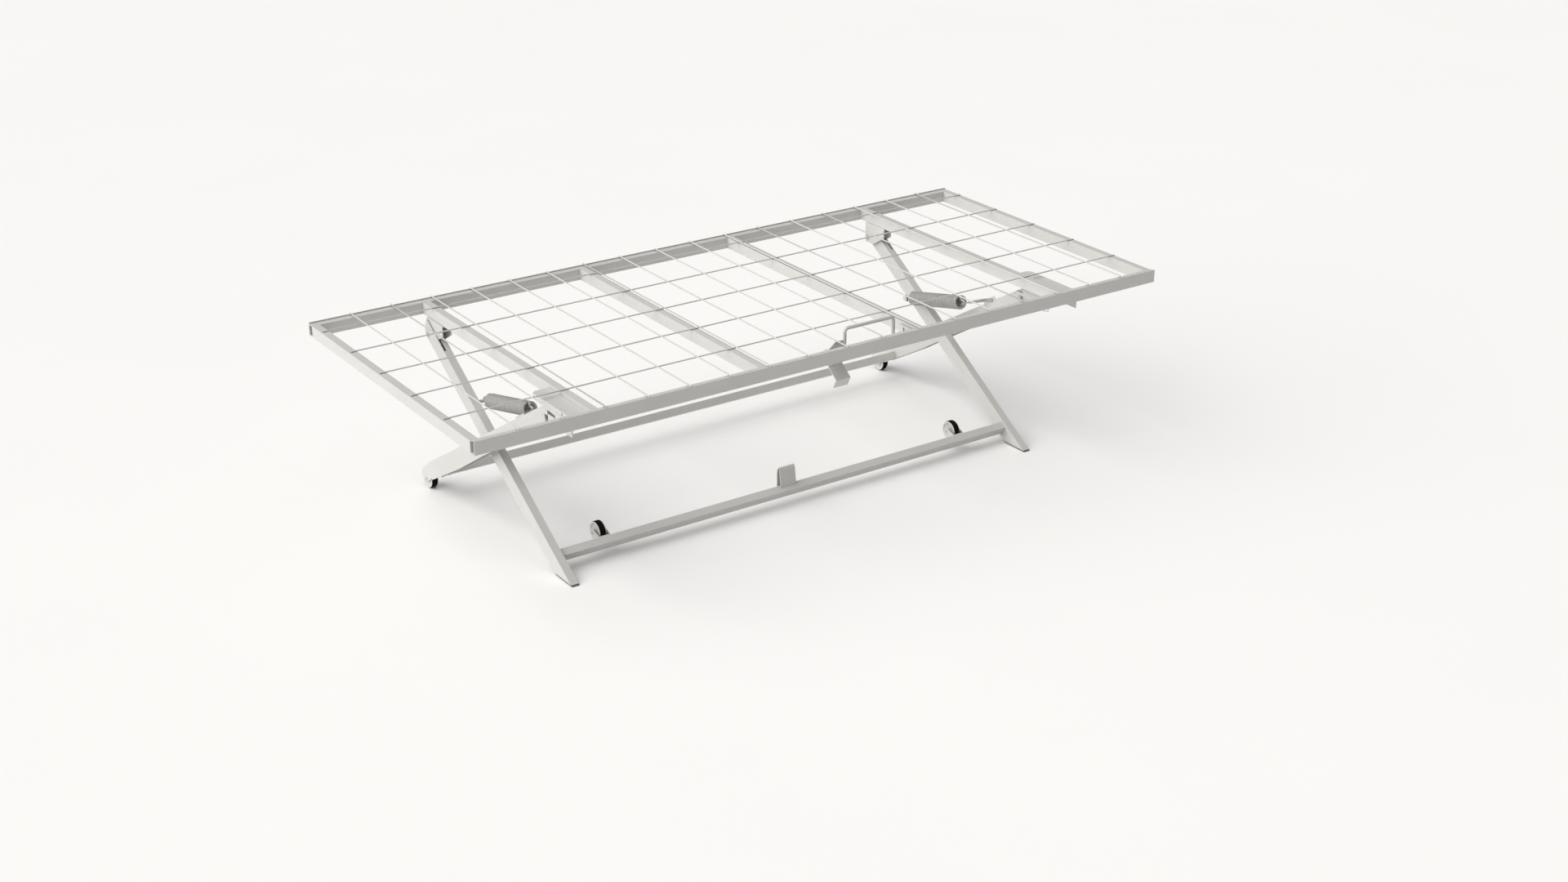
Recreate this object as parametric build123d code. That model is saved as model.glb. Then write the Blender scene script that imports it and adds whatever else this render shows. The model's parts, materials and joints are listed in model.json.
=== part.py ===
from build123d import *
import os
from math import cos, sin, radians

# Pop-up rollaway bed frame, in millimetres, standing raised.
# X runs along the bed, Y from the front rail to the back rail, Z up.
# The origin is on the floor, under the middle of the deck.

# ---- deck ----
LENGTH = 1900.0
WIDTH = 848.0
DECK_TOP = 470.0            # top of the long rails' lips above the floor, legs raised
RAIL_WIDE = 20.0
RAIL_HIGH = 32.0            # with the lip
WALL = 2.0                  # wall of every box tube
LIP_WIDE = 2.0
WIRE = 3.4                  # diameter of the mesh wires, and height of the long rails' lip
MEMBER_X = (-655.0, -221.0, 221.0, 655.0)
CROSS_WIRES = 17
LONG_WIRE_FIRST = 72.5      # from the back edge to the first long wire
LONG_WIRE_PITCH = 157.0
LONG_WIRES = 5

# ---- folding legs, in the Y-Z plane ----
HINGE = (371.0, 396.0)      # front legs turn here, under the back of the deck
PIVOT = (69.0, 215.0)       # scissor pivot
SLIDE = (-233.0, 396.0)     # rear legs' slide pin, raised
FRONT_ANGLE = 32.66         # slope of the front legs below level
REAR_ANGLE = 30.6
FRONT_RIDGE = 30.5          # hinge pin to the front leg's upper face
FRONT_DEEP = 40.0
REAR_TOP = 19.6             # slide pin to the rear leg's upper face
SHEET = 2.5                 # pressed steel of the rear legs
FOOT_DEEP = 3.0             # foot cap under the front leg's level cut
SLIDE_TRAVEL = 101.0        # slide pin travel from raised to lowered

# ---- places along X, measured outward from the middle ----
FRONT_LEG_X = (652.0, 672.0)
REAR_LEG_X = (679.0, 707.0)
GUIDE_PLATE_X = (673.8, 676.2)
HINGE_CHEEK_X = ((643.5, 646.0), (666.0, 668.5))
SPRING_X = 628.0
TUBE_CASTOR_X = (-530.0, 512.0)     # left and right, as built off the middle

# ---- castors ----
WHEEL_R = 25.0
TREAD = 18.0                # whole width of a wheel
TYRE_DEEP = 5.0
RIM_FLANGE = 1.5            # light rim each side of the tyre
AXLE_R = 3.0
REAR_AXLE = (368.0, WHEEL_R)
FRONT_AXLE = (-177.1, 51.9)

# ---- pins and fits ----
FIT = 0.05                  # radial clearance of every running fit
PIN_R = 5.0                 # hinge, scissor and slide pins
NUT = 4.5                   # thickness of the scissor nuts

# ---- springs ----
COIL_R = 18.75
COIL_WALL = 3.5
SPRING_HEEL = (167.0, 285.0)     # eye on the front leg
SPRING_TOE = (-120.0, 355.0)     # strap end, at the rear leg's ear
COIL_START = 23.5
COIL_LONG = 211.0
EAR = (103.0, 156.0)             # the ear's span down the rear leg

# ---- latch ----
LATCH_PIVOT = (-375.0, 445.0)
LATCH_X = (-20.0, 20.0)
HANDLE_X = (26.0, 166.0)    # middles of the handle's two legs
HANDLE_TOP = 495.0
LUG_X = (-27.0, 205.0)
ROD_R = 4.25

# ---- bars that join the legs ----
CROSS_TUBE = (-210.2, 35.9)
CROSS_TUBE_ALONG = 20.0
CROSS_TUBE_DEEP = 25.0
REAR_BAR = (289.9, 68.8)
REAR_BAR_ALONG = 22.0
REAR_BAR_DEEP = 20.0


def on_line(origin, angle, heading, along, above):
    """Point in Y-Z: 'along' down a leg from origin, 'above' square to its upper face."""
    c, s = cos(radians(angle)), sin(radians(angle))
    y = origin[0] + heading * (along * c + above * s)
    z = origin[1] - along * s + above * c
    return (y, z)


def front(along, above):
    return on_line(HINGE, FRONT_ANGLE, -1, along, above)


def rear(along, above):
    return on_line(SLIDE, REAR_ANGLE, 1, along, above)


def side_plane(x):
    """Plane facing +X at x, with local axes along Y and Z."""
    return Plane(origin=(x, 0, 0), x_dir=(0, 1, 0), z_dir=(1, 0, 0))


def plate(points, x_low, x_high):
    """Y-Z outline extruded along X."""
    outline = make_face(Polyline(*points, close=True))
    return extrude(side_plane(x_low) * outline, amount=x_high - x_low)


def round_bar(centre, radius, x_low, x_high):
    disc = Pos(centre[0], centre[1]) * Circle(radius)
    return extrude(side_plane(x_low) * disc, amount=x_high - x_low)


def block(x, y, z):
    """Box from three (low, high) pairs."""
    size = [pair[1] - pair[0] for pair in (x, y, z)]
    middle = [(pair[0] + pair[1]) / 2 for pair in (x, y, z)]
    return Pos(*middle) * Box(*size)


def tube_along_x(x, y, z):
    inner = block((x[0] - 1, x[1] + 1), (y[0] + WALL, y[1] - WALL), (z[0] + WALL, z[1] - WALL))
    return block(x, y, z) - inner


def tube_along_y(x, y, z):
    inner = block((x[0] + WALL, x[1] - WALL), (y[0] - 1, y[1] + 1), (z[0] + WALL, z[1] - WALL))
    return block(x, y, z) - inner


def sloped_block(centre, angle, along, deep, x_low, x_high):
    """Solid bar along X, turned in Y-Z so that two of its faces slope at the angle."""
    section = Pos(centre[0], centre[1]) * Rot(0, 0, angle) * Rectangle(along, deep)
    return extrude(side_plane(x_low) * section, amount=x_high - x_low)


def sloped_tube(centre, angle, along, deep, reach):
    outside = sloped_block(centre, angle, along, deep, -reach, reach)
    bore = (along - 2 * WALL, deep - 2 * WALL)
    return outside - sloped_block(centre, angle, *bore, -reach - 1, reach + 1)


def both_sides(name, right_piece):
    """A right-hand piece and its mirror image as two nodes."""
    return {name + "_right": right_piece, name + "_left": mirror(right_piece, about=Plane.YZ)}


def pair(right_piece):
    """A right-hand piece and its mirror image in one node."""
    return Compound(children=[right_piece, mirror(right_piece, about=Plane.YZ)])


# ------------------------------------------------------------------ deck

def deck_frame():
    half_l, half_w = LENGTH / 2, WIDTH / 2
    inner_y = half_w - RAIL_WIDE
    tube_top = DECK_TOP - WIRE
    tube_z = (DECK_TOP - RAIL_HIGH, tube_top)
    nodes = {}
    rail = tube_along_x((-half_l, half_l), (inner_y, half_w), tube_z)
    rail += block((-half_l, half_l), (half_w - LIP_WIDE, half_w), (tube_top, DECK_TOP))
    nodes["back_rail"] = rail
    nodes["front_rail"] = mirror(rail, about=Plane.XZ)
    end_rail = tube_along_y((half_l - RAIL_WIDE, half_l), (-inner_y, inner_y), tube_z)
    nodes.update(both_sides("end_rail", end_rail))
    for number, x in enumerate(MEMBER_X, start=1):
        span_x = (x - RAIL_WIDE / 2, x + RAIL_WIDE / 2)
        nodes[f"cross_member_{number}"] = tube_along_y(span_x, (-inner_y, inner_y), tube_z)
    return nodes


def wire_mesh():
    """Long wires lie on the members, cross wires on the lips and the long wires."""
    reach_x = LENGTH / 2 - 3
    reach_y = WIDTH / 2 - 0.5
    long_z = DECK_TOP - WIRE / 2
    cross_z = DECK_TOP + WIRE / 2
    long_wires = []
    for index in range(LONG_WIRES):
        y = WIDTH / 2 - LONG_WIRE_FIRST - index * LONG_WIRE_PITCH
        long_wires.append(round_bar((y, long_z), WIRE / 2, -reach_x, reach_x))
    pitch = LENGTH / (CROSS_WIRES + 1)
    cross_wires = []
    for index in range(CROSS_WIRES):
        x = (index - (CROSS_WIRES - 1) / 2) * pitch
        start = Plane(origin=(x, -reach_y, cross_z), x_dir=(1, 0, 0), z_dir=(0, 1, 0))
        cross_wires.append(extrude(start * Circle(WIRE / 2), amount=2 * reach_y))
    return {"long_wires": Compound(children=long_wires), "cross_wires": Compound(children=cross_wires)}


def hinge_brackets():
    """U brackets under the outer members; the outer cheek stands inside the leg's open end."""
    top = DECK_TOP - RAIL_HIGH
    cheek = [(380, top), (380, 383), (346, 383), (298, 412), (298, top)]
    (inner, inner_face), (outer_face, outer) = HINGE_CHEEK_X
    bracket = plate(cheek, inner, inner_face) + plate(cheek, outer_face, outer)
    bracket += block((inner, outer), (298, 380), (top - 2.5, top))
    bracket -= round_bar(HINGE, PIN_R, inner - 10, outer + 10)
    # Pin with a low head inside, riveted over outside the leg.
    pin = round_bar(HINGE, PIN_R, inner - 1.5, FRONT_LEG_X[1] + 0.4)
    pin += round_bar(HINGE, PIN_R + 2, inner - 1.5, inner)
    pin += round_bar(HINGE, PIN_R + 1.5, FRONT_LEG_X[1] + 0.4, FRONT_LEG_X[1] + 1.4)
    nodes = both_sides("hinge_bracket", bracket)
    nodes.update(both_sides("hinge_pin", pin))
    spacer = round_bar(HINGE, 9.0, inner_face, FRONT_LEG_X[0] - 0.4)
    nodes["hinge_spacers"] = pair(spacer - round_bar(HINGE, PIN_R, inner, FRONT_LEG_X[0]))
    return nodes


def slide_guides():
    """Shelf beside each outer member, with a slotted plate that the rear leg's pin runs in."""
    top, sheet = DECK_TOP - 12.0, 2.0
    under = top - sheet
    front_y = RAIL_WIDE - WIDTH / 2
    member_face = MEMBER_X[3] + RAIL_WIDE / 2
    outer = 710.0
    shelf = [(member_face, front_y), (outer, front_y), (outer, -232), (outer - 8, -224),
             (member_face, -224)]
    guide = extrude(Pos(0, 0, under) * make_face(Polyline(*shelf, close=True)), amount=sheet)
    # The outer skirt is deeper in front, with a rearward arm below a slot that is open behind.
    skirt = [(front_y, under), (-232, under), (-232, 443.5), (-332, 438.5), (-332, 431.5),
             (-298, 431.5), (-298, 412), (front_y, 412)]
    guide += plate(skirt, outer - 1.8, outer)
    guide -= block((outer - 3, outer + 1), (-364.5, -360), (444, 455))
    # The hanging plate is cut back behind, where the spring strap passes.
    hanger = [(-342.5, under), (-244, under), (-244, 410), (-218, 410), (-218, 387.5),
              (-334, 387.5), (-339.8, 389.8), (-342.5, 395)]
    guide += plate(hanger, *GUIDE_PLATE_X)
    slot_half = PIN_R + 0.6
    slot_y = (SLIDE[0] - SLIDE_TRAVEL, SLIDE[0])
    cut_x = (GUIDE_PLATE_X[0] - 1, GUIDE_PLATE_X[1] + 1)
    guide -= block(cut_x, slot_y, (SLIDE[1] - slot_half, SLIDE[1] + slot_half))
    for y in slot_y:
        guide -= round_bar((y, SLIDE[1]), slot_half, *cut_x)
    return both_sides("slide_guide", guide)


# ------------------------------------------------------------------ front legs

def front_leg():
    """Box tube, open at both ends, with slots that let the bracket's outer cheek in."""
    low, high = FRONT_LEG_X
    under = FRONT_RIDGE - FRONT_DEEP
    outline = [front(-24, FRONT_RIDGE), (383, 420), (386.5, 404), front(-10, under),
               front(800, under), front(800, FRONT_RIDGE)]
    bore = [front(-60, FRONT_RIDGE - WALL), front(-60, under + WALL),
            front(820, under + WALL), front(820, FRONT_RIDGE - WALL)]
    leg = plate(outline, low, high) - plate(bore, low + WALL, high - WALL)
    leg -= block((low - 5, high + 5), (-600, 0), (-300, FOOT_DEEP))
    slot_x = (HINGE_CHEEK_X[1][0] - 1.5, high - WALL)
    for reach, near, far in ((78, FRONT_RIDGE - 3, FRONT_RIDGE + 2), (33, under - 2, under + 3)):
        leg -= plate([front(-60, near), front(reach, near), front(reach, far), front(-60, far)], *slot_x)
    leg -= round_bar(HINGE, PIN_R + FIT, low - 5, high + 5)
    return leg - round_bar(PIVOT, PIN_R, low - 5, high + 5)


def foot_cap():
    """Flat plastic foot under the level cut of the front leg, with a stub inside the tube."""
    low, high = FRONT_LEG_X
    run = 1 / sin(radians(FRONT_ANGLE))
    lean = cos(radians(FRONT_ANGLE)) * run
    ridge_y = front(HINGE[1] / sin(radians(FRONT_ANGLE)), 0)[0]
    front_y = ridge_y - FRONT_RIDGE * run
    back_y = front_y + FRONT_DEEP * run
    top = FOOT_DEEP
    foot = plate([(front_y, 0), (back_y, 0), (back_y + top * lean, top), (front_y + top * lean, top)],
                 low, high)
    tip = top + 14.0
    inset = (WALL + 0.2) * run
    stub = [(front_y + top * lean + inset, top), (back_y + top * lean - inset, top),
            (back_y + tip * lean - inset, tip), (front_y + tip * lean + inset, tip)]
    return foot + plate(stub, low + WALL + 0.2, high - WALL - 0.2)


def front_cross_tube():
    return sloped_tube(CROSS_TUBE, FRONT_ANGLE, CROSS_TUBE_ALONG, CROSS_TUBE_DEEP, FRONT_LEG_X[0])


def tube_corner(along, above):
    """Point on the cross tube's section, from its centre, in the front leg's directions."""
    return on_line(CROSS_TUBE, FRONT_ANGLE, -1, along, above)


def front_castor_fork(x):
    """Two cheeks welded to the back of the cross tube, joined by a web."""
    sheet = 2.5
    inside = 13.5
    back = -CROSS_TUBE_ALONG / 2
    cheek = [tube_corner(back, 12), tube_corner(-36, 5), tube_corner(-36, -12), tube_corner(back, -12)]
    web = [tube_corner(back, 12), tube_corner(back - sheet, 11.5),
           tube_corner(back - sheet, 9), tube_corner(back, 9)]
    fork = plate(web, x - inside, x + inside)
    for low in (x - inside - sheet, x + inside):
        fork += plate(cheek, low, low + sheet) + round_bar(FRONT_AXLE, 9.5, low, low + sheet)
    return fork - round_bar(FRONT_AXLE, AXLE_R, x - 30, x + 30)


def latch_catch():
    """Strip bent into a narrow arch that straddles the cross tube's back edge."""
    low, high = -43.0, 2.0
    outer = [(-217, 40), (-210, 92), (-207, 97), (-203, 97.5), (-199.5, 93), (-197, 80), (-196.5, 31)]
    inner = [(-199, 31), (-199.4, 79), (-201.6, 91), (-204, 94.8), (-206.2, 94.3), (-207.8, 91),
             (-214.5, 40)]
    tube = sloped_block(CROSS_TUBE, FRONT_ANGLE, CROSS_TUBE_ALONG, CROSS_TUBE_DEEP, low - 1, high + 1)
    return plate(outer + inner, low, high) - tube


def spring_anchor():
    """Stud and washer on the front leg's inner face that the spring's heel hooks over."""
    face = FRONT_LEG_X[0]
    stud = round_bar(SPRING_HEEL, 4.0, SPRING_X - 8, face)
    stud += round_bar(SPRING_HEEL, 7.0, SPRING_X - 10, SPRING_X - 8)
    return stud + round_bar(SPRING_HEEL, 8.0, face - 2, face)


# ------------------------------------------------------------------ rear legs

def rear_leg():
    """Pressed channel, open below and at both ends, deepest towards the castor."""
    low, high = REAR_LEG_X
    top = REAR_TOP
    # The upper end is cut upright, with a notch below its nose.
    outline = [rear(667, top), rear(-72, top), (-290, 444), (-290, 424), (-275, 424), (-279, 408),
               rear(-40, -22), rear(330, -24), rear(489, -27.8), rear(667, -24)]
    leg = plate(outline, low, high)
    core = [rear(720, top - SHEET), rear(-90, top - SHEET), rear(-90, -60), rear(720, -60)]
    leg -= plate(core, low + SHEET, high - SHEET)
    # Ear standing on the inner side, beside the end of the spring strap.
    ear = [rear(EAR[0], top - 1), rear(EAR[0] + 5, top + 9),
           rear(EAR[1] - 6, top + 9), rear(EAR[1], top - 1)]
    leg += plate(ear, low, low + SHEET)
    leg -= round_bar(SLIDE, PIN_R, low - 5, low + SHEET + 5)
    return leg - round_bar(PIVOT, PIN_R + FIT, low - 5, high + 5)


def rear_castor_fork():
    """Cheeks inside the end of the rear leg, with a web across the leg."""
    low, high = REAR_LEG_X
    sheet = 2.0
    cheek = [rear(600, 14), rear(667, 16), (384, 50), (392, 39), (394.5, 27), (391, 22), (384, 19),
             (362, 19), rear(667, -20), rear(600, -20)]
    inner_face = low + SHEET
    outer_face = high - SHEET
    fork = plate(cheek, inner_face, inner_face + sheet)
    fork += plate(cheek, outer_face - sheet, outer_face)
    web = [rear(600, 14), rear(603, 14), rear(603, -20), rear(600, -20)]
    fork += plate(web, inner_face, outer_face)
    return fork - round_bar(REAR_AXLE, AXLE_R, low - 5, high + 5)


def rear_cross_bar():
    return sloped_tube(REAR_BAR, -REAR_ANGLE, REAR_BAR_ALONG, REAR_BAR_DEEP, REAR_LEG_X[0])


def slide_pin():
    """Stud fixed across the rear leg's channel, with its tip running in the guide's slot."""
    return round_bar(SLIDE, PIN_R, GUIDE_PLATE_X[0] - 0.7, REAR_LEG_X[1] - SHEET)


def scissor_bolt():
    """Bolt fixed in the front leg; the rear leg turns on it under a loose head."""
    head = REAR_LEG_X[1] + 0.4
    bolt = round_bar(PIVOT, PIN_R, FRONT_LEG_X[0] - NUT, head)
    return bolt + round_bar(PIVOT, 8.5, head, head + 4)


def scissor_nut():
    face = FRONT_LEG_X[0]
    hexagon = Pos(PIVOT[0], PIVOT[1]) * RegularPolygon(8.5, 6)
    nut = extrude(side_plane(face - NUT) * hexagon, amount=NUT)
    return nut - round_bar(PIVOT, PIN_R, face - NUT - 1, face + 1)


def scissor_spacer():
    low, high = FRONT_LEG_X[1], REAR_LEG_X[0] - 0.5
    return round_bar(PIVOT, 11.0, low, high) - round_bar(PIVOT, PIN_R, low - 1, high + 1)


# ------------------------------------------------------------------ castor wheels

def wheel_core(axle, x):
    """Light plastic core: hub, dished web and a rim flange each side of the tyre."""
    half = TREAD / 2
    core = round_bar(axle, WHEEL_R - TYRE_DEEP, x - half, x + half)
    for low in (x - half, x + half - RIM_FLANGE):
        core += round_bar(axle, WHEEL_R - 0.8, low, low + RIM_FLANGE)
    for low, high in ((x - half - 1, x - half + 3), (x + half - 3, x + half + 1)):
        core -= round_bar(axle, WHEEL_R - TYRE_DEEP - 2, low, high) - round_bar(axle, 8, low, high)
    return core - round_bar(axle, AXLE_R + FIT, x - half - 1, x + half + 1)


def tyre(axle, x):
    reach = TREAD / 2 - RIM_FLANGE
    ring = round_bar(axle, WHEEL_R, x - reach, x + reach)
    return ring - round_bar(axle, WHEEL_R - TYRE_DEEP, x - reach - 1, x + reach + 1)


def axle_pin(axle, x, reach):
    pin = round_bar(axle, AXLE_R, x - reach, x + reach)
    for side in (-1, 1):
        low, high = sorted((x + side * reach, x + side * (reach + 1)))
        pin += round_bar(axle, AXLE_R + 1.2, low, high)
    return pin


# ------------------------------------------------------------------ springs

def spring_direction():
    """Length of the spring line and its unit vector from heel to toe, in Y-Z."""
    run_y, run_z = SPRING_TOE[0] - SPRING_HEEL[0], SPRING_TOE[1] - SPRING_HEEL[1]
    length = (run_y ** 2 + run_z ** 2) ** 0.5
    return length, run_y / length, run_z / length


def spring_point(distance, lift=0.0):
    """Point on the spring line, 'lift' square to it."""
    length, uy, uz = spring_direction()
    return (SPRING_HEEL[0] + distance * uy + lift * uz, SPRING_HEEL[1] + distance * uz - lift * uy)


def spring_coil():
    """Close-wound coil as a sleeve of its outer shape, with the heel hook at its end."""
    length, uy, uz = spring_direction()
    start = spring_point(COIL_START)
    plane = Plane(origin=(SPRING_X, start[0], start[1]), x_dir=(1, 0, 0), z_dir=(0, uy, uz))
    sleeve = extrude(plane * Circle(COIL_R), amount=COIL_LONG)
    sleeve -= extrude(plane * Circle(COIL_R - COIL_WALL), amount=COIL_LONG)
    hook = [spring_point(-7, 2), spring_point(COIL_START + 3, 2),
            spring_point(COIL_START + 3, 18), spring_point(COIL_START, 20),
            spring_point(-7, 9)]
    eye = round_bar(SPRING_HEEL, 8.0, SPRING_X - 2, SPRING_X + 2) + plate(hook, SPRING_X - 2, SPRING_X + 2)
    eye -= round_bar(SPRING_HEEL, 4.0 + FIT, SPRING_X - 5, SPRING_X + 5)
    return sleeve + eye


def spring_strap():
    """Flat link from inside the coil's end, stepped outward to lie beside the rear leg's ear."""
    length, uy, uz = spring_direction()
    half, thick = 4.0, 2.0
    outer = REAR_LEG_X[0] - 1.2
    coil_end = COIL_START + COIL_LONG
    bend, landing = coil_end + 6, length - 12
    middle = SPRING_X - thick / 2
    # Seen from above the spring line: straight tail, slanted step, straight end.
    outline = [(middle, coil_end - 14), (middle + thick, coil_end - 14), (middle + thick, bend),
               (outer, landing), (outer, length + 5), (outer - thick, length + 5),
               (outer - thick, landing + 1), (middle, bend + 1)]
    plane = Plane(origin=(0, SPRING_HEEL[0], SPRING_HEEL[1]), x_dir=(1, 0, 0), z_dir=(0, -uz, uy))
    flat = make_face(Polyline(*outline, close=True))
    strap = extrude(plane * flat, amount=half, both=True)
    return strap + round_bar(SPRING_TOE, 3.0, outer - thick - 1.5, outer - thick)


# ------------------------------------------------------------------ latch

def latch_lugs():
    """Short ear and long slotted ear, welded behind the front rail, that carry the latch rod."""
    rail_face = RAIL_WIDE - WIDTH / 2
    short_ear = [(rail_face, 462), (-372, 455), (-365, 449), (-365, 441), (-372, 435), (rail_face, 440)]
    long_ear = [(rail_face, 460), (-350, 460), (-343, 454), (-343, 436), (rail_face, 436)]
    lugs = []
    for x, ear in zip(LUG_X, (short_ear, long_ear)):
        lugs.append(plate(ear, x, x + 3) - round_bar(LATCH_PIVOT, ROD_R + FIT, x - 1, x + 4))
    lugs[1] -= block((LUG_X[1] - 1, LUG_X[1] + 4), (-367, -362.5), (443, 456))
    return Compound(children=lugs)


def latch_rod():
    return round_bar(LATCH_PIVOT, ROD_R, LUG_X[0] - 2, LUG_X[1] + 5)


def latch_plate():
    """Bent strip hanging from the rod, with a knee and a hook at the bottom."""
    low, high = LATCH_X
    front_face = [(-376.5, 468), (-376.5, 411.5), (-408.8, 387.3), (-397.3, 365.3)]
    back_face = [(-394.7, 366.7), (-405.2, 386.7), (-373.5, 410.5), (-373.5, 468)]
    strip = plate(front_face + back_face, low, high) + round_bar(LATCH_PIVOT, ROD_R + 3, low, high)
    # One top corner is cut off at a slant.
    corner = make_face(Polyline((low - 1, 452), (0, 469), (low - 1, 469), close=True))
    strip -= extrude(Plane.XZ * corner, amount=450)
    return strip - round_bar(LATCH_PIVOT, ROD_R, low - 1, high + 1)


def latch_handle():
    """Round D-shaped pull with two legs welded to the rod."""
    low, high = HANDLE_X
    y, z = LATCH_PIVOT
    corners = [(low, y, z + 1), (low, y, HANDLE_TOP), (high, y, HANDLE_TOP), (high, y, z + 1)]
    path = FilletPolyline(*corners, radius=9)
    handle = sweep(Plane(origin=corners[0], z_dir=(0, 0, 1)) * Circle(ROD_R), path=path)
    return handle - round_bar(LATCH_PIVOT, ROD_R, low - 20, high + 20)


# ------------------------------------------------------------------ assembly

def all_nodes():
    nodes = deck_frame()
    nodes.update(wire_mesh())
    nodes.update(hinge_brackets())
    nodes.update(slide_guides())
    nodes.update(both_sides("front_leg", front_leg()))
    nodes.update(both_sides("foot_cap", foot_cap()))
    nodes["front_cross_tube"] = front_cross_tube()
    nodes["latch_catch"] = latch_catch()
    nodes.update(both_sides("spring_anchor", spring_anchor()))
    nodes.update(both_sides("rear_leg", rear_leg()))
    nodes.update(both_sides("rear_castor_fork", rear_castor_fork()))
    nodes["rear_cross_bar"] = rear_cross_bar()
    nodes.update(both_sides("slide_pin", slide_pin()))
    nodes.update(both_sides("scissor_bolt", scissor_bolt()))
    nodes["scissor_nuts"] = pair(scissor_nut())
    nodes["scissor_spacers"] = pair(scissor_spacer())
    nodes.update(both_sides("spring_coil", spring_coil()))
    nodes.update(both_sides("spring_strap", spring_strap()))
    nodes["latch_lugs"] = latch_lugs()
    nodes["latch_rod"] = latch_rod()
    nodes["latch_plate"] = latch_plate()
    nodes["latch_handle"] = latch_handle()
    rear_x = (REAR_LEG_X[0] + REAR_LEG_X[1]) / 2
    castors = [("front", "left", FRONT_AXLE, TUBE_CASTOR_X[0], 16.0),
               ("front", "right", FRONT_AXLE, TUBE_CASTOR_X[1], 16.0),
               ("rear", "left", REAR_AXLE, -rear_x, 11.5),
               ("rear", "right", REAR_AXLE, rear_x, 11.5)]
    for end, side, axle, x, reach in castors:
        nodes[f"{end}_wheel_core_{side}"] = wheel_core(axle, x)
        nodes[f"{end}_tyre_{side}"] = tyre(axle, x)
        nodes[f"{end}_axle_{side}"] = axle_pin(axle, x, reach)
        if end == "front":
            nodes[f"front_castor_fork_{side}"] = front_castor_fork(x)
    return nodes


os.makedirs("parts", exist_ok=True)
for node_name, solid in all_nodes().items():
    export_step(solid, os.path.join("parts", node_name + ".step"))
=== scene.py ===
import json
from math import cos, pi, radians, sin

import bmesh
import bpy
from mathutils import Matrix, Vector


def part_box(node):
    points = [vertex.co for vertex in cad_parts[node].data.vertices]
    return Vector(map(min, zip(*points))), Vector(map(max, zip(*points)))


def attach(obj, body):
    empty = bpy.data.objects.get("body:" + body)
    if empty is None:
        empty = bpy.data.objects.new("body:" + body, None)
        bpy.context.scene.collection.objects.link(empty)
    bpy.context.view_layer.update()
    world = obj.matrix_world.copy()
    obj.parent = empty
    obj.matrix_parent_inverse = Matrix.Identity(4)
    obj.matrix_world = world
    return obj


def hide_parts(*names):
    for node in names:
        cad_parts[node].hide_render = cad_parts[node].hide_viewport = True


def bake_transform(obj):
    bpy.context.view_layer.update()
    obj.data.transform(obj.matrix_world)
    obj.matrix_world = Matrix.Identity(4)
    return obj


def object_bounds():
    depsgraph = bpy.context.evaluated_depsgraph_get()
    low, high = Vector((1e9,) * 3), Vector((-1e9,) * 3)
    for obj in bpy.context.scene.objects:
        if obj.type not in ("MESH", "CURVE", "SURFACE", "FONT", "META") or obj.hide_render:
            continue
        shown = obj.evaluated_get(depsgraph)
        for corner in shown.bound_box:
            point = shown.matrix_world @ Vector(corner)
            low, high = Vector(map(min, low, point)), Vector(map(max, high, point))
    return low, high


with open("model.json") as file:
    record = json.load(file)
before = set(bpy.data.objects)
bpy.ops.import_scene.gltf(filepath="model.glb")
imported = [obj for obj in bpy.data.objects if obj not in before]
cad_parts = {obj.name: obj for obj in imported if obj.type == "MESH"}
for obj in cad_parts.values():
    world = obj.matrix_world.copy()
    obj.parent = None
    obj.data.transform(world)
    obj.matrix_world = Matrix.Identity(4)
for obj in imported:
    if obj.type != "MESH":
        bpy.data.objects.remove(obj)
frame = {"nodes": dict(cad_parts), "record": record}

cad_low, cad_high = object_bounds()
joints = {j["name"]: j for j in frame["record"]["behaviour"]["joints"]}
nodes = frame["nodes"]

# All lengths are in metres, and all angles in degrees.

# coil springs
WIRE_D = 0.0062                 # spring wire
STUD_R = 0.004                  # stud that the near hook goes round
STUD_GAP = 0.0003
HEEL_FROM, HEEL_SWEEP, HEEL_STEPS = -60, 255, 15        # near hook
NECK = ((0.010, 0.0055), (0.016, 0.0052))               # distance and height, hook to coil
COIL_GAP = 0.0235               # stud to the coil
COIL_LONG = 0.211
TURNS, TURN_STEPS = 27, 28
LEAD_R, LEAD_STEPS = 0.005, 20  # half turn that widens from the neck to the coil
LEAD_LONG, LEAD_BACK, FIRST_TURN = 0.004, 0.003, 0.0035
FALL_LONG, FALL_STEPS = 0.003, 6                        # last turn down to the far hook
RING_REACH = 0.0085             # last turn to the middle of the far hook
HOOK_R = 0.0052
HOOK_FROM, HOOK_SWEEP, HOOK_STEPS = 100, 245, 14        # far hook

# flat links
STRAP_HALF = 0.004              # half width
STRAP_THIN = 0.0009             # half thickness
STRAP_STEPS = 40
STRAP_START = 0.0165            # coil's end to the link
STRAP_SHORT = 0.001
STRAP_INSET = 0.0012            # keeps the landing inside the CAD link's side
LANDING = 0.72                  # share of the length at which it reaches the leg
TWIST = 0.5                     # share of the length over which it turns
NARROW = 0.62                   # width at its ends
WIDEN, TAPER = 0.2, 0.06        # shares of the length over which the width changes
EYE_LONG, EYE_WIDE = 0.0052, 0.0046
EYE_WIRE_R, EYE_STEPS = 0.0012, 32

# castor wheels
LATHE_STEPS = 96
TYRE_DEEP = 0.005
SHOULDER = 0.0018
RIM_BELOW = 0.0008              # rim under the tread
HUB_R, BORE_R = 0.0075, 0.00305
LIP_R = 0.0005
WEB_HALF = 0.006
RIBS, RIB_R, RIB_STEPS = 6, 0.0012, 4
RIB_FROM, RIB_SHORT, RIB_OUT = 0.007, 0.0015, 0.66

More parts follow.
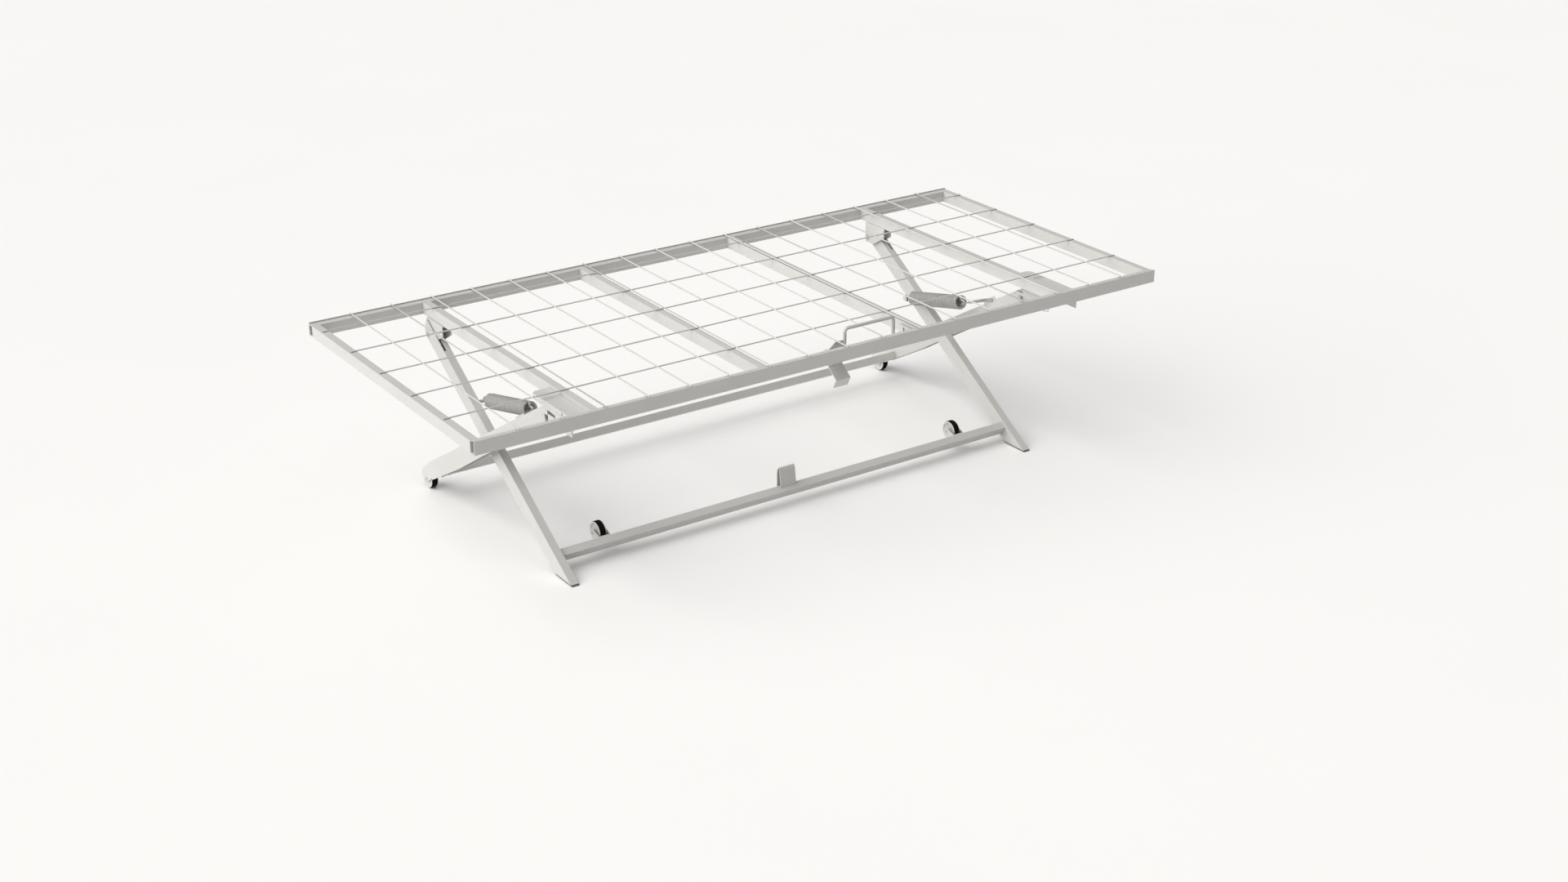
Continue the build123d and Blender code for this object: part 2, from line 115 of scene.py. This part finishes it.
# welds
BEAD = 0.0016                   # bead radius
BAR_BEAD = 0.0014
RIPPLE = 0.0008                 # step along a bead
RAIL_SINK, RAIL_SHORT = 0.0003, 0.002
BAR_SINK = 0.0004
CROSS_WIRES, LONG_WIRES = 17, 5
MESH_WIRE_R = (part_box("cross_wires")[1][2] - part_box("cross_wires")[0][2]) / 2
SPOT_R, SPOT_LONG, SPOT_FLAT = 0.0021, 0.9, 0.6
SPOT_RAIL, SPOT_REACH = 0.002, 0.0015

# stage
FLOOR_HALF, FLOOR_DROP = 30, 0.0005
SUN_TOWARD, SUN_SPREAD, SUN_STRENGTH = (0.80, -0.15, -0.60), 72, 3.15
SUN_COLOUR = (1.0, 0.98, 0.945)
SKY_STRENGTH, SKY_SEEN, SKY_FALLOFF = 1.02, 0.93, 2.5
CAMERA_AT = (-2.741, -4.164, 2.268)
CAMERA_PITCH, CAMERA_HEADING = 66.336, -34.433


# ---------------------------------------------------------------- materials

CORNER_SHADE_REACH, CORNER_SHADE_TONE = 0.012, 0.82             # painted shade: colour darkened in corners by ambient occlusion
WORN_FROM, WORN_TO, WORN_MOST = 0.54, 0.62, 0.35        # pointiness of a worn edge, and its share
RELIEF = 0.0004                 # depth of the grain


def noise_mix(tree, coord, scale, low, high, detail=4.0):
    """Noise remapped to run between two values."""
    noise = tree.nodes.new("ShaderNodeTexNoise")
    noise.inputs["Scale"].default_value = scale
    noise.inputs["Detail"].default_value = detail
    span = tree.nodes.new("ShaderNodeMapRange")
    span.inputs["From Min"].default_value = 0.3
    span.inputs["From Max"].default_value = 0.7
    span.inputs["To Min"].default_value = low
    span.inputs["To Max"].default_value = high
    tree.links.new(coord, noise.inputs["Vector"])
    tree.links.new(noise.outputs["Fac"], span.inputs["Value"])
    return span.outputs["Result"]


def colour_mix(tree, factor, first, second):
    """Mix of two colours, each a tuple or another node's output."""
    mix = tree.nodes.new("ShaderNodeMix")
    mix.data_type = "RGBA"
    for socket, value in ((mix.inputs[6], first), (mix.inputs[7], second)):
        if isinstance(value, tuple):
            socket.default_value = (*value, 1.0)
        else:
            tree.links.new(value, socket)
    tree.links.new(factor, mix.inputs[0])
    return mix.outputs[2]


def surface(name, base, shade, rough, grain, bump, metal=0.0, patch=9.0, worn=None,
            stretch=(1, 1, 1), coat=0.0, specular=0.5):
    """Base colour with slow patches, painted shade in corners from ambient occlusion, worn edges,
    fine grain in bump and gloss.
    """
    material = bpy.data.materials.new(name)
    material.use_nodes = True
    tree = material.node_tree
    shader = tree.nodes["Principled BSDF"]
    place = tree.nodes.new("ShaderNodeTexCoord").outputs["Object"]
    mapping = tree.nodes.new("ShaderNodeMapping")
    mapping.inputs["Scale"].default_value = stretch
    tree.links.new(place, mapping.inputs["Vector"])
    fine_place = mapping.outputs["Vector"]
    colour = colour_mix(tree, noise_mix(tree, place, patch, 0.0, 1.0), base, shade)
    # painted shade: corners and crevices darkened in the base colour by an ambient occlusion mask
    corner = tree.nodes.new("ShaderNodeAmbientOcclusion")
    corner.inputs["Distance"].default_value = CORNER_SHADE_REACH
    corner.samples = 6
    painted_corner_shade = tuple(c * CORNER_SHADE_TONE for c in shade)
    colour = colour_mix(tree, corner.outputs["AO"], painted_corner_shade, colour)
    if worn:
        point = tree.nodes.new("ShaderNodeNewGeometry").outputs["Pointiness"]
        edge = tree.nodes.new("ShaderNodeMapRange")
        edge.inputs["From Min"].default_value = WORN_FROM
        edge.inputs["From Max"].default_value = WORN_TO
        edge.inputs["To Max"].default_value = WORN_MOST
        tree.links.new(point, edge.inputs["Value"])
        colour = colour_mix(tree, edge.outputs["Result"], colour, worn)
    tree.links.new(colour, shader.inputs["Base Color"])
    gloss = noise_mix(tree, fine_place, grain * 0.1, rough - 0.05, rough + 0.07)
    tree.links.new(gloss, shader.inputs["Roughness"])
    shader.inputs["Metallic"].default_value = metal
    shader.inputs["Specular IOR Level"].default_value = specular
    shader.inputs["Coat Weight"].default_value = coat
    shader.inputs["Coat Roughness"].default_value = 0.3
    relief = tree.nodes.new("ShaderNodeBump")
    relief.inputs["Strength"].default_value = bump
    relief.inputs["Distance"].default_value = RELIEF
    tree.links.new(noise_mix(tree, fine_place, grain, 0.0, 1.0, 2.0), relief.inputs["Height"])
    tree.links.new(relief.outputs["Normal"], shader.inputs["Normal"])
    return material


powder = surface("powder_coat", (0.59, 0.586, 0.572), (0.565, 0.561, 0.547), 0.45, grain=800.0,
                 bump=0.12, worn=(0.66, 0.65, 0.625), coat=0.05)
plated = surface("plated_steel", (0.56, 0.55, 0.535), (0.48, 0.47, 0.455), 0.36, metal=0.7,
                 grain=1400.0, bump=0.1, patch=60.0, stretch=(0.15, 1, 1))
spring = surface("spring_steel", (0.42, 0.415, 0.405), (0.36, 0.355, 0.345), 0.5, metal=0.2,
                 grain=1200.0, bump=0.1, patch=70.0)
rubber = surface("tyre_rubber", (0.003, 0.003, 0.003), (0.006, 0.006, 0.006), 0.85, grain=1500.0,
                 bump=0.3, patch=120.0, worn=(0.012, 0.012, 0.012), specular=0.12)
plastic = surface("wheel_plastic", (0.62, 0.615, 0.6), (0.57, 0.565, 0.55), 0.5, grain=1100.0,
                  bump=0.2, patch=80.0)
foot = surface("foot_plastic", (0.13, 0.13, 0.125), (0.1, 0.1, 0.095), 0.55, grain=1100.0,
               bump=0.25, patch=60.0)
weld = surface("painted_weld", (0.59, 0.58, 0.555), (0.55, 0.54, 0.515), 0.42, grain=500.0,
               bump=0.35, patch=90.0)
LOOKS = {"powder_coat": powder, "plated_steel": plated, "spring_steel": spring, "tyre": rubber,
         "wheel_core": plastic, "foot_plastic": foot}


# ---------------------------------------------------------------- mesh tools

def add_piece(name, mesh, material, body=None):
    """Smooth-shaded object from a mesh."""
    for polygon in mesh.polygons:
        polygon.use_smooth = True
    mesh.materials.append(material)
    piece = bpy.data.objects.new(name, mesh)
    bpy.context.scene.collection.objects.link(piece)
    if body:
        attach(piece, body)
    return piece


def new_piece(name, points, faces, material, body=None):
    mesh = bpy.data.meshes.new(name)
    mesh.from_pydata([tuple(p) for p in points], [], faces)
    mesh.validate()
    return add_piece(name, mesh, material, body)


def tube_mesh(path, radii, sides=8):
    """Skin round a path, carried along without twisting, closed at both ends."""
    points, faces = [], []
    ahead = (path[1] - path[0]).normalized()
    side = ahead.orthogonal().normalized()
    for i, centre in enumerate(path):
        near, far = path[max(i - 1, 0)], path[min(i + 1, len(path) - 1)]
        ahead = (far - near).normalized()
        side = (side - ahead * side.dot(ahead)).normalized()
        up = ahead.cross(side)
        for k in range(sides):
            turn = 2 * pi * k / sides
            points.append(centre + (side * cos(turn) + up * sin(turn)) * radii[i])
    for i in range(len(path) - 1):
        for k in range(sides):
            a, b = i * sides + k, i * sides + (k + 1) % sides
            faces.append((a, b, b + sides, a + sides))
    faces.append(tuple(reversed(range(sides))))
    last = (len(path) - 1) * sides
    faces.append(tuple(range(last, last + sides)))
    return points, faces


def lathe_mesh(profile, centre):
    """Closed (x, radius) profile turned about a line along X."""
    points, faces = [], []
    count = len(profile)
    for s in range(LATHE_STEPS):
        turn = 2 * pi * s / LATHE_STEPS
        for x, r in profile:
            points.append(centre + Vector((x, r * cos(turn), r * sin(turn))))
    for s in range(LATHE_STEPS):
        here, following = s * count, ((s + 1) % LATHE_STEPS) * count
        for k in range(count):
            after = (k + 1) % count
            faces.append((here + k, here + after, following + after, following + k))
    return points, faces


def joined(parts):
    """Several (points, faces) as one."""
    points, faces = [], []
    for some_points, some_faces in parts:
        start = len(points)
        points += some_points
        faces += [tuple(i + start for i in face) for face in some_faces]
    return points, faces


# ---------------------------------------------------------------- carried-over CAD nodes

def dress_cad_nodes():
    """Material by slot, with softened edges."""
    for entry in frame["record"]["subparts"]:
        piece = nodes[entry["node"]]
        material = LOOKS[entry["material_slot"]]
        piece.data.materials.clear()
        piece.data.materials.append(material)
        merge = piece.modifiers.new("merge", "WELD")
        merge.merge_threshold = 0.00001
        flat = piece.modifiers.new("flat_faces", "DECIMATE")
        flat.decimate_type = "DISSOLVE"
        flat.angle_limit = radians(0.3)
        if "wires" not in entry["node"]:
            soft = piece.modifiers.new("soft_edges", "BEVEL")
            soft.width = 0.0007
            soft.segments = 2
            soft.limit_method = "ANGLE"
            soft.angle_limit = radians(50)
            soft.harden_normals = True


# ---------------------------------------------------------------- springs

def coil_path(heel, along, radius):
    """Hook round the stud, up to the line of the coil, the turns, and a crossing far hook."""
    side = Vector((1, 0, 0))
    up = along.cross(side).normalized()
    if up.z < 0:
        up = -up
    path = []
    eye = STUD_R + WIRE_D / 2 + STUD_GAP
    for k in range(HEEL_STEPS + 1):
        turn = radians(HEEL_FROM + HEEL_SWEEP * k / HEEL_STEPS)
        path.append(heel - along * eye * cos(turn) - up * eye * sin(turn))
    for distance, height in NECK:
        path.append(heel + along * distance + up * height)
    start = heel + along * COIL_GAP
    for k in range(1, LEAD_STEPS + 1):
        grow = k / LEAD_STEPS
        spread = LEAD_R + (radius - LEAD_R) * grow
        turn = pi / 2 - pi * (1 - grow)
        path.append(start + along * (LEAD_LONG * grow - LEAD_BACK)
                    + (up * sin(turn) + side * cos(turn)) * spread)
    pitch = (COIL_LONG - WIRE_D) / TURNS
    first = start + along * FIRST_TURN
    for k in range(1, TURNS * TURN_STEPS + 1):
        turn = pi / 2 + 2 * pi * k / TURN_STEPS
        path.append(first + along * pitch * k / TURN_STEPS
                    + (up * sin(turn) + side * cos(turn)) * radius)
    last = first + along * pitch * TURNS
    ring = last + along * RING_REACH
    for k in range(1, FALL_STEPS):
        fall = k / FALL_STEPS
        path.append(last + along * FALL_LONG * fall + up * (radius + (HOOK_R - radius) * fall))
    for k in range(HOOK_STEPS + 1):
        turn = radians(HOOK_FROM - HOOK_SWEEP * k / HOOK_STEPS)
        path.append(ring + (along * cos(turn) + up * sin(turn)) * HOOK_R)
    return path


def strap_mesh(heel, along, side, first, last, reach):
    """Flat link from an eye on the coil's hook, twisting a quarter turn, to beside the leg."""
    out = Vector((side, 0, 0))
    up = along.cross(out) * side
    points, faces = [], []
    corners = [(-1, -0.6), (-0.9, -1), (0.9, -1), (1, -0.6),
               (1, 0.6), (0.9, 1), (-0.9, 1), (-1, 0.6)]
    for k in range(STRAP_STEPS + 1):
        t = k / STRAP_STEPS
        slide = min(t / LANDING, 1.0)
        ease = slide * slide * (3 - 2 * slide)
        centre = heel + along * (first + (last - first) * t) + out * reach * ease
        ahead = along * (last - first) + out * reach * 6 * slide * (1 - slide) / LANDING
        ahead = ahead.normalized()
        flat = (out - ahead * out.dot(ahead)).normalized()
        lean = radians(90) * min(t / TWIST, 1.0)
        across = flat * cos(lean) + up * sin(lean)
        thick = ahead.cross(across)
        full = min(t / WIDEN, (1 - t) / TAPER, 1.0)
        half = STRAP_HALF * (NARROW + (1 - NARROW) * full)
        points += [centre + across * half * a + thick * STRAP_THIN * b for a, b in corners]
    count = len(corners)
    for k in range(STRAP_STEPS):
        for n in range(count):
            a, b = k * count + n, k * count + (n + 1) % count
            faces.append((a, b, b + count, a + count))
    faces.append(tuple(reversed(range(count))))
    faces.append(tuple(range(STRAP_STEPS * count, STRAP_STEPS * count + count)))
    eye = []
    for k in range(EYE_STEPS + 1):
        turn = 2 * pi * k / EYE_STEPS
        eye.append(heel + along * (first - EYE_LONG + EYE_LONG * cos(turn))
                   + out * EYE_WIDE * sin(turn))
    return joined([(points, faces), tube_mesh(eye, [EYE_WIRE_R] * len(eye))])


def springs():
    for hand in ("left", "right"):
        turn = joints[f"spring_turn_{hand}"]
        along = Vector(joints[f"spring_stretch_{hand}"]["axis"]).normalized()
        heel = Vector(turn["pos_m"])
        low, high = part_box(f"spring_coil_{hand}")
        radius = (high[0] - low[0]) / 2 - WIRE_D / 2
        path = coil_path(heel, along, radius)
        points, faces = tube_mesh(path, [WIRE_D / 2] * len(path), 10)
        piece = new_piece(f"coil_{hand}", points, faces, spring)
        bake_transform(piece)
        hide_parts(f"spring_coil_{hand}")
        side = 1 if hand == "right" else -1
        low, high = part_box(f"spring_strap_{hand}")
        reach = max(abs(low[0]), abs(high[0])) - abs(heel.x) - STRAP_INSET
        cad_strap = nodes[f"spring_strap_{hand}"].data
        far = max((v.co - heel).dot(along) for v in cad_strap.vertices)
        points, faces = strap_mesh(heel, along, side, COIL_GAP + COIL_LONG + STRAP_START,
                                   far - STRAP_SHORT, reach)
        strap = new_piece(f"strap_shape_{hand}", points, faces, spring,
                          f"strap_{hand}")
        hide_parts(f"spring_strap_{hand}")


# ---------------------------------------------------------------- castor wheels

def arc(cx, cr, size, first, last, steps):
    """Points on an arc between two angles, as (x, radius)."""
    turns = [radians(first + (last - first) * k / steps) for k in range(steps + 1)]
    return [(cx + size * cos(t), cr + size * sin(t)) for t in turns]


def tyre_profile(half, outer, inner):
    """Tread band with rounded shoulders, seated between the core's flanges."""
    crown = arc(half - SHOULDER, outer - SHOULDER, SHOULDER, 0, 90, 5)
    mirrored = [(-x, r) for x, r in reversed(crown)]
    return crown + mirrored + [(-half, inner), (half, inner)]


def core_profile(half, outer, seat, flange):
    """Hub, dished web and rim flanges: one side from the bore outwards, then its mirror image."""
    lip = arc(half - LIP_R, outer - LIP_R, LIP_R, 90, 0, 4)
    hub = [(half - 0.0009, BORE_R), (half - 0.0009, HUB_R - 0.0008), (half - 0.0017, HUB_R)]
    web = [(WEB_HALF + 0.0009, HUB_R + 0.0004), (WEB_HALF, HUB_R + 0.0016),
           (WEB_HALF, seat - 0.0022), (WEB_HALF + 0.0012, seat - 0.0009)]
    rim = [(half - 0.0006, seat - 0.0002), (half, seat + 0.0006)]
    rim += list(reversed(lip)) + [(half - flange, outer), (half - flange, seat)]
    right = hub + web + rim
    left = [(-x, r) for x, r in reversed(right)]
    return right + left


def rib_mesh(centre, half, hub, rim):
    """Round spokes on both faces of the web."""
    parts = []
    for face in (-1, 1):
        for k in range(RIBS):
            turn = 2 * pi * k / RIBS
            out = Vector((0, cos(turn), sin(turn)))
            middle = centre + Vector((face * half * RIB_OUT, 0, 0))
            path = [middle + out * (hub + (rim - hub) * t / RIB_STEPS)
                    for t in range(RIB_STEPS + 1)]
            parts.append(tube_mesh(path, [RIB_R] * len(path)))
    return joined(parts)


def wheels():
    for end in ("front", "rear"):
        for hand in ("left", "right"):
            body = f"{end}_wheel_{hand}"
            low, high = (Vector(c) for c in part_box(f"{end}_tyre_{hand}"))
            centre, size = (low + high) / 2, high - low
            tread, outer = size.x / 2, size.z / 2
            seat = outer - TYRE_DEEP
            points, faces = lathe_mesh(tyre_profile(tread, outer, seat), centre)
            tyre = new_piece(f"{end}_tyre_shape_{hand}", points, faces, rubber, body)
            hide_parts(f"{end}_tyre_{hand}")
            core_low, core_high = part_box(f"{end}_wheel_core_{hand}")
            half = (core_high[0] - core_low[0]) / 2
            disc = lathe_mesh(core_profile(half, outer - RIM_BELOW, seat, half - tread), centre)
            ribs = rib_mesh(centre, half, RIB_FROM, seat - RIB_SHORT)
            points, faces = joined([disc, ribs])
            core = new_piece(f"{end}_core_shape_{hand}", points, faces, plastic, body)
            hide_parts(f"{end}_wheel_core_{hand}")


# ---------------------------------------------------------------- welds

def bead_mesh(start, finish, radius=BEAD):
    """Rippled bead with rounded ends."""
    start, finish = Vector(start), Vector(finish)
    span = (finish - start).length
    steps = max(6, int(span / RIPPLE))
    path = [start.lerp(finish, k / steps) for k in range(steps + 1)]
    radii = []
    for k in range(steps + 1):
        ends = min(k, steps - k) / 3.0
        ripple = 0.93 + 0.09 * sin(k * 2 * pi / 3)
        radii.append(radius * min(1.0, 0.25 + 0.75 * ends) * ripple)
    return tube_mesh(path, radii)


def end_outline(node, side):
    """Outer corners of a sloped tube's end, going round."""
    mesh = nodes[node].data
    reach = max(abs(v.co.x) for v in mesh.vertices)
    corners = [v.co.copy() for v in mesh.vertices if v.co.x * side > reach - 0.0001]
    return [max(corners, key=lambda c: c.y), max(corners, key=lambda c: c.z),
            min(corners, key=lambda c: c.y), min(corners, key=lambda c: c.z)]


def deck_welds():
    """Upright beads where the cross members and end rails meet the long rails."""
    parts = []
    members = [f"cross_member_{n}" for n in range(1, 5)] + ["end_rail_left", "end_rail_right"]
    for name in members:
        low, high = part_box(name)
        for y in (low[1], high[1]):
            inward = 1 if y < 0 else -1
            for x in (low[0], high[0]):
                if abs(x) < cad_high.x - 0.001:
                    parts.append(bead_mesh((x, y + inward * RAIL_SINK, low[2] + RAIL_SHORT),
                                           (x, y + inward * RAIL_SINK, high[2] - RAIL_SHORT)))
    points, faces = joined(parts)
    new_piece("deck_welds", points, faces, weld, "deck")


def bar_welds():
    """Beads round both ends of the two tubes that join the legs."""
    for node, body in (("front_cross_tube", "front_legs"), ("rear_cross_bar", "rear_legs")):
        parts = []
        for side in (-1, 1):
            ring = end_outline(node, side)
            shift = Vector((-side * BAR_SINK, 0, 0))
            for k in range(4):
                a, b = ring[k], ring[(k + 1) % 4]
                parts.append(bead_mesh(a + shift, b + shift, BAR_BEAD))
        points, faces = joined(parts)
        new_piece(f"{node}_welds", points, faces, weld, body)


def evenly(first, last, count):
    """Equally spaced places, both ends included."""
    return [first + k * (last - first) / (count - 1) for k in range(count)]


def wire_spots():
    """Small pressed nuggets where the mesh wires cross and where they meet the rails."""
    low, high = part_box("cross_wires")
    xs = evenly(low[0] + MESH_WIRE_R, high[0] - MESH_WIRE_R, CROSS_WIRES)
    long_low, long_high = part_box("long_wires")
    ys = evenly(long_low[1] + MESH_WIRE_R, long_high[1] - MESH_WIRE_R, LONG_WIRES)
    level = low[2]
    shape = bmesh.new()
    rail = high[1] - SPOT_RAIL
    edge = rail + SPOT_REACH
    for x in xs:
        for y in ys + [-rail, rail]:
            made = bmesh.ops.create_icosphere(shape, subdivisions=2, radius=SPOT_R)["verts"]
            for v in made:
                v.co = Vector((v.co.x + x, v.co.y * SPOT_LONG + y, v.co.z * SPOT_FLAT + level))
                v.co.y = max(-edge, min(edge, v.co.y))
    mesh = bpy.data.meshes.new("wire_welds")
    shape.to_mesh(mesh)
    shape.free()
    add_piece("wire_welds", mesh, weld, "deck")


# ---------------------------------------------------------------- stage

def floor_material():
    material = bpy.data.materials.new("floor")
    material.use_nodes = True
    tree = material.node_tree
    shader = tree.nodes["Principled BSDF"]
    place = tree.nodes.new("ShaderNodeTexCoord").outputs["Object"]
    factor = noise_mix(tree, place, 1.5, 0.0, 1.0)
    colour = colour_mix(tree, factor, (0.93, 0.93, 0.928), (0.92, 0.92, 0.918))
    tree.links.new(colour, shader.inputs["Base Color"])
    shader.inputs["Roughness"].default_value = 0.8
    return material


def soft_sun():
    """Even light from one side, wide enough for soft shadows."""
    lamp = bpy.data.lights.new("key", "SUN")
    lamp.angle = radians(SUN_SPREAD)
    lamp.energy = SUN_STRENGTH
    lamp.color = SUN_COLOUR
    holder = bpy.data.objects.new("key", lamp)
    holder.rotation_euler = Vector(SUN_TOWARD).to_track_quat("-Z", "Y").to_euler()
    bpy.context.scene.collection.objects.link(holder)


def overhead_sky():
    """White sky that lights mostly from overhead, and looks evenly pale where it is seen itself."""
    world = bpy.data.worlds.new("studio")
    world.use_nodes = True
    tree = world.node_tree
    place = tree.nodes.new("ShaderNodeTexCoord").outputs["Generated"]
    split = tree.nodes.new("ShaderNodeSeparateXYZ")
    above = tree.nodes.new("ShaderNodeMath")
    above.operation = "MAXIMUM"
    above.inputs[1].default_value = 0.0
    rise = tree.nodes.new("ShaderNodeMath")
    rise.operation = "POWER"
    rise.inputs[1].default_value = SKY_FALLOFF
    scale = tree.nodes.new("ShaderNodeMath")
    scale.operation = "MULTIPLY"
    scale.inputs[1].default_value = SKY_STRENGTH
    ray = tree.nodes.new("ShaderNodeLightPath")
    choice = tree.nodes.new("ShaderNodeMix")
    choice.inputs["B"].default_value = SKY_SEEN
    tree.links.new(ray.outputs["Is Camera Ray"], choice.inputs["Factor"])
    tree.links.new(scale.outputs["Value"], choice.inputs["A"])
    tree.links.new(place, split.inputs["Vector"])
    tree.links.new(split.outputs["Z"], above.inputs[0])
    tree.links.new(above.outputs["Value"], rise.inputs[0])
    tree.links.new(rise.outputs["Value"], scale.inputs[0])
    tree.links.new(choice.outputs["Result"], tree.nodes["Background"].inputs["Strength"])
    tree.nodes["Background"].inputs["Color"].default_value = (1.0, 1.0, 1.0, 1.0)
    bpy.context.scene.world = world


def stage():
    half = FLOOR_HALF
    mesh = bpy.data.meshes.new("floor")
    mesh.from_pydata([(-half, -half, 0), (half, -half, 0), (half, half, 0), (-half, half, 0)],
                     [], [(0, 1, 2, 3)])
    mesh.materials.append(floor_material())
    floor = bpy.data.objects.new("floor", mesh)
    floor.location.z = -FLOOR_DROP
    bpy.context.scene.collection.objects.link(floor)
    soft_sun()
    overhead_sky()
    bpy.context.scene.view_settings.view_transform = "Standard"


def camera():
    lens = bpy.data.cameras.new("camera")
    lens.lens = 50
    lens.sensor_width = 36
    lens.dof.use_dof = False
    holder = bpy.data.objects.new("camera", lens)
    holder.location = CAMERA_AT
    holder.rotation_euler = (radians(CAMERA_PITCH), 0, radians(CAMERA_HEADING))
    bpy.context.scene.collection.objects.link(holder)
    bpy.context.scene.camera = holder


dress_cad_nodes()
springs()
wheels()
deck_welds()
bar_welds()
wire_spots()
stage()
camera()
